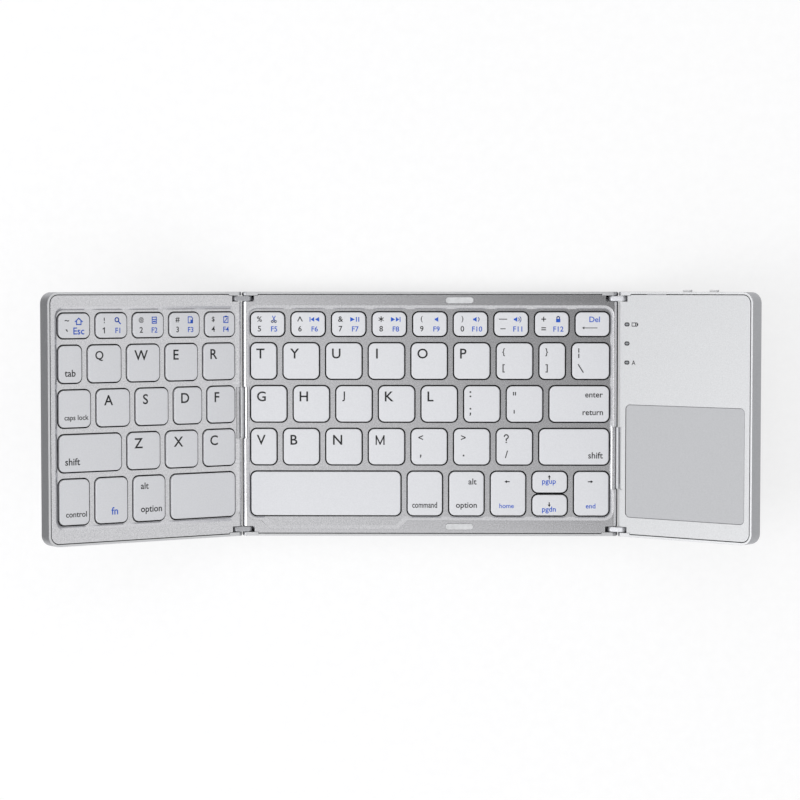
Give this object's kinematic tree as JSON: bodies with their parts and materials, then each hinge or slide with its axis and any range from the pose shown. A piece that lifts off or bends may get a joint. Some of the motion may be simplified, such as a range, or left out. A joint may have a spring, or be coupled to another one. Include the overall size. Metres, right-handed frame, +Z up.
{
  "type": "folding keyboard",
  "caption": "Slim tri-fold keyboard: a centre panel and a left wing with keys, and a right wing with a touchpad, on double-pivot links that let both wings fold flat onto the centre.",
  "frame": {"origin": "middle of the centre panel, on the plane that its feet stand on", "axes": "+X to the right along the three panels, +Y to the back, away from the user, +Z up"},
  "size_m": [0.2779, 0.0988, 0.0572],
  "materials": {
    "case": "silver metallic paint with a fine speckle",
    "frame": "silver metallic paint with a fine speckle",
    "plate": "plain sheet",
    "membrane": "clear film with printed traces",
    "dome": "translucent silicone",
    "scissor": "moulded, satin",
    "foot": "matt grey rubber",
    "bumper": "translucent soft plastic",
    "link": "satin silver",
    "guard": "satin silver",
    "ribbon": "amber film",
    "pin": "ground",
    "battery": "foil pouch",
    "board": "green solder mask",
    "touchpad": "fine matt grey",
    "port": "plated",
    "light": "smoked window",
    "knob": "satin silver",
    "keycap": "light grey, satin"
  },
  "bodies": {
    "centre_panel": {"centre_bottom_case": "case", "centre_key_frame": "frame", "centre_backplate": "plate", "centre_membrane": "membrane", "centre_domes": "dome", "centre_scissors": "scissor", "centre_feet": "foot", "rim_bumpers": "bumper", "centre_hinge_pins": "pin"},
    "left_link": {"left_hinge_links": "link", "left_cable_guard": "guard", "left_ribbon_cable": "ribbon"},
    "right_link": {"right_hinge_links": "link", "right_cable_guard": "guard", "right_ribbon_cable": "ribbon"},
    "left_wing": {"left_bottom_case": "case", "left_key_frame": "frame", "left_backplate": "plate", "left_membrane": "membrane", "left_domes": "dome", "left_scissors": "scissor", "left_feet": "foot", "left_hinge_pins": "pin"},
    "right_wing": {"right_bottom_case": "case", "right_top_cover": "frame", "right_feet": "foot", "right_hinge_pins": "pin", "battery": "battery", "main_board": "board", "touchpad": "touchpad", "charging_port": "port", "status_lights": "light"},
    "power_switch": {"power_switch_knob": "knob"},
    "connection_switch": {"connection_switch_knob": "knob"},
    "escape_key_body": {"escape_key": "keycap"},
    "left_number_keys_body": {"left_number_keys": "keycap"},
    "tab_key_body": {"tab_key": "keycap"},
    "left_upper_letter_keys_body": {"left_upper_letter_keys": "keycap"},
    "caps_lock_key_body": {"caps_lock_key": "keycap"},
    "left_middle_letter_keys_body": {"left_middle_letter_keys": "keycap"},
    "left_shift_key_body": {"left_shift_key": "keycap"},
    "left_lower_letter_keys_body": {"left_lower_letter_keys": "keycap"},
    "control_key_body": {"control_key": "keycap"},
    "function_key_body": {"function_key": "keycap"},
    "left_alt_key_body": {"left_alt_key": "keycap"},
    "left_space_key_body": {"left_space_key": "keycap"},
    "backspace_key_body": {"backspace_key": "keycap"},
    "centre_number_keys_body": {"centre_number_keys": "keycap"},
    "centre_upper_letter_keys_body": {"centre_upper_letter_keys": "keycap"},
    "enter_key_body": {"enter_key": "keycap"},
    "centre_middle_letter_keys_body": {"centre_middle_letter_keys": "keycap"},
    "right_shift_key_body": {"right_shift_key": "keycap"},
    "centre_lower_letter_keys_body": {"centre_lower_letter_keys": "keycap"},
    "right_space_key_body": {"right_space_key": "keycap"},
    "command_key_body": {"command_key": "keycap"},
    "right_alt_key_body": {"right_alt_key": "keycap"},
    "left_arrow_key_body": {"left_arrow_key": "keycap"},
    "up_arrow_key_body": {"up_arrow_key": "keycap"},
    "down_arrow_key_body": {"down_arrow_key": "keycap"},
    "right_arrow_key_body": {"right_arrow_key": "keycap"}
  },
  "joints": [
    {"name": "left_link_turn", "type": "hinge", "parent": "centre_panel", "child": "left_link", "pos_m": [-0.0734, 0, 0.0056], "axis": [0, 1, 0], "range_deg": [-17.5, 72.5]},
    {"name": "left_wing_turn", "type": "hinge", "parent": "left_link", "child": "left_wing", "pos_m": [-0.0776, 0, 0.00692], "axis": [0, 1, 0], "range_deg": [-17.5, 72.5]},
    {"name": "right_link_turn", "type": "hinge", "parent": "centre_panel", "child": "right_link", "pos_m": [0.0734, 0, 0.0056], "axis": [0, -1, 0], "range_deg": [-19, 71]},
    {"name": "right_wing_turn", "type": "hinge", "parent": "right_link", "child": "right_wing", "pos_m": [0.07756, 0, 0.00703], "axis": [0, -1, 0], "range_deg": [-19, 71]},
    {"name": "power_switch_slide", "type": "slide", "parent": "right_wing", "child": "power_switch", "axis": [0.788, 0, 0.6157], "range_m": [0, 0.0016]},
    {"name": "connection_switch_slide", "type": "slide", "parent": "right_wing", "child": "connection_switch", "axis": [0.788, 0, 0.6157], "range_m": [0, 0.0016]},
    {"name": "backspace_key_press", "type": "slide", "parent": "centre_panel", "child": "backspace_key_body", "axis": [0, 0, -1], "range_m": [0, 0.0015], "stiffness_N_per_m": 200, "deforming": ["centre_domes", "centre_scissors"]},
    {"name": "centre_number_keys_press", "type": "slide", "parent": "centre_panel", "child": "centre_number_keys_body", "axis": [0, 0, -1], "range_m": [0, 0.0015], "stiffness_N_per_m": 200, "deforming": ["centre_domes", "centre_scissors"]},
    {"name": "centre_upper_letter_keys_press", "type": "slide", "parent": "centre_panel", "child": "centre_upper_letter_keys_body", "axis": [0, 0, -1], "range_m": [0, 0.0015], "stiffness_N_per_m": 200, "deforming": ["centre_domes", "centre_scissors"]},
    {"name": "enter_key_press", "type": "slide", "parent": "centre_panel", "child": "enter_key_body", "axis": [0, 0, -1], "range_m": [0, 0.0015], "stiffness_N_per_m": 200, "deforming": ["centre_domes", "centre_scissors"]},
    {"name": "centre_middle_letter_keys_press", "type": "slide", "parent": "centre_panel", "child": "centre_middle_letter_keys_body", "axis": [0, 0, -1], "range_m": [0, 0.0015], "stiffness_N_per_m": 200, "deforming": ["centre_domes", "centre_scissors"]},
    {"name": "right_shift_key_press", "type": "slide", "parent": "centre_panel", "child": "right_shift_key_body", "axis": [0, 0, -1], "range_m": [0, 0.0015], "stiffness_N_per_m": 200, "deforming": ["centre_domes", "centre_scissors"]},
    {"name": "centre_lower_letter_keys_press", "type": "slide", "parent": "centre_panel", "child": "centre_lower_letter_keys_body", "axis": [0, 0, -1], "range_m": [0, 0.0015], "stiffness_N_per_m": 200, "deforming": ["centre_domes", "centre_scissors"]},
    {"name": "right_space_key_press", "type": "slide", "parent": "centre_panel", "child": "right_space_key_body", "axis": [0, 0, -1], "range_m": [0, 0.0015], "stiffness_N_per_m": 200, "deforming": ["centre_domes", "centre_scissors"]},
    {"name": "command_key_press", "type": "slide", "parent": "centre_panel", "child": "command_key_body", "axis": [0, 0, -1], "range_m": [0, 0.0015], "stiffness_N_per_m": 200, "deforming": ["centre_domes", "centre_scissors"]},
    {"name": "right_alt_key_press", "type": "slide", "parent": "centre_panel", "child": "right_alt_key_body", "axis": [0, 0, -1], "range_m": [0, 0.0015], "stiffness_N_per_m": 200, "deforming": ["centre_domes", "centre_scissors"]},
    {"name": "left_arrow_key_press", "type": "slide", "parent": "centre_panel", "child": "left_arrow_key_body", "axis": [0, 0, -1], "range_m": [0, 0.0015], "stiffness_N_per_m": 200, "deforming": ["centre_domes", "centre_scissors"]},
    {"name": "up_arrow_key_press", "type": "slide", "parent": "centre_panel", "child": "up_arrow_key_body", "axis": [0, 0, -1], "range_m": [0, 0.0015], "stiffness_N_per_m": 200, "deforming": ["centre_domes", "centre_scissors"]},
    {"name": "down_arrow_key_press", "type": "slide", "parent": "centre_panel", "child": "down_arrow_key_body", "axis": [0, 0, -1], "range_m": [0, 0.0015], "stiffness_N_per_m": 200, "deforming": ["centre_domes", "centre_scissors"]},
    {"name": "right_arrow_key_press", "type": "slide", "parent": "centre_panel", "child": "right_arrow_key_body", "axis": [0, 0, -1], "range_m": [0, 0.0015], "stiffness_N_per_m": 200, "deforming": ["centre_domes", "centre_scissors"]},
    {"name": "escape_key_press", "type": "slide", "parent": "left_wing", "child": "escape_key_body", "axis": [-0.5736, 0, -0.8192], "range_m": [0, 0.0015], "stiffness_N_per_m": 200, "deforming": ["left_domes", "left_scissors"]},
    {"name": "left_number_keys_press", "type": "slide", "parent": "left_wing", "child": "left_number_keys_body", "axis": [-0.5736, 0, -0.8192], "range_m": [0, 0.0015], "stiffness_N_per_m": 200, "deforming": ["left_domes", "left_scissors"]},
    {"name": "tab_key_press", "type": "slide", "parent": "left_wing", "child": "tab_key_body", "axis": [-0.5736, 0, -0.8192], "range_m": [0, 0.0015], "stiffness_N_per_m": 200, "deforming": ["left_domes", "left_scissors"]},
    {"name": "left_upper_letter_keys_press", "type": "slide", "parent": "left_wing", "child": "left_upper_letter_keys_body", "axis": [-0.5736, 0, -0.8192], "range_m": [0, 0.0015], "stiffness_N_per_m": 200, "deforming": ["left_domes", "left_scissors"]},
    {"name": "caps_lock_key_press", "type": "slide", "parent": "left_wing", "child": "caps_lock_key_body", "axis": [-0.5736, 0, -0.8192], "range_m": [0, 0.0015], "stiffness_N_per_m": 200, "deforming": ["left_domes", "left_scissors"]},
    {"name": "left_middle_letter_keys_press", "type": "slide", "parent": "left_wing", "child": "left_middle_letter_keys_body", "axis": [-0.5736, 0, -0.8192], "range_m": [0, 0.0015], "stiffness_N_per_m": 200, "deforming": ["left_domes", "left_scissors"]},
    {"name": "left_shift_key_press", "type": "slide", "parent": "left_wing", "child": "left_shift_key_body", "axis": [-0.5736, 0, -0.8192], "range_m": [0, 0.0015], "stiffness_N_per_m": 200, "deforming": ["left_domes", "left_scissors"]},
    {"name": "left_lower_letter_keys_press", "type": "slide", "parent": "left_wing", "child": "left_lower_letter_keys_body", "axis": [-0.5736, 0, -0.8192], "range_m": [0, 0.0015], "stiffness_N_per_m": 200, "deforming": ["left_domes", "left_scissors"]},
    {"name": "control_key_press", "type": "slide", "parent": "left_wing", "child": "control_key_body", "axis": [-0.5736, 0, -0.8192], "range_m": [0, 0.0015], "stiffness_N_per_m": 200, "deforming": ["left_domes", "left_scissors"]},
    {"name": "function_key_press", "type": "slide", "parent": "left_wing", "child": "function_key_body", "axis": [-0.5736, 0, -0.8192], "range_m": [0, 0.0015], "stiffness_N_per_m": 200, "deforming": ["left_domes", "left_scissors"]},
    {"name": "left_alt_key_press", "type": "slide", "parent": "left_wing", "child": "left_alt_key_body", "axis": [-0.5736, 0, -0.8192], "range_m": [0, 0.0015], "stiffness_N_per_m": 200, "deforming": ["left_domes", "left_scissors"]},
    {"name": "left_space_key_press", "type": "slide", "parent": "left_wing", "child": "left_space_key_body", "axis": [-0.5736, 0, -0.8192], "range_m": [0, 0.0015], "stiffness_N_per_m": 200, "deforming": ["left_domes", "left_scissors"]}
  ]
}
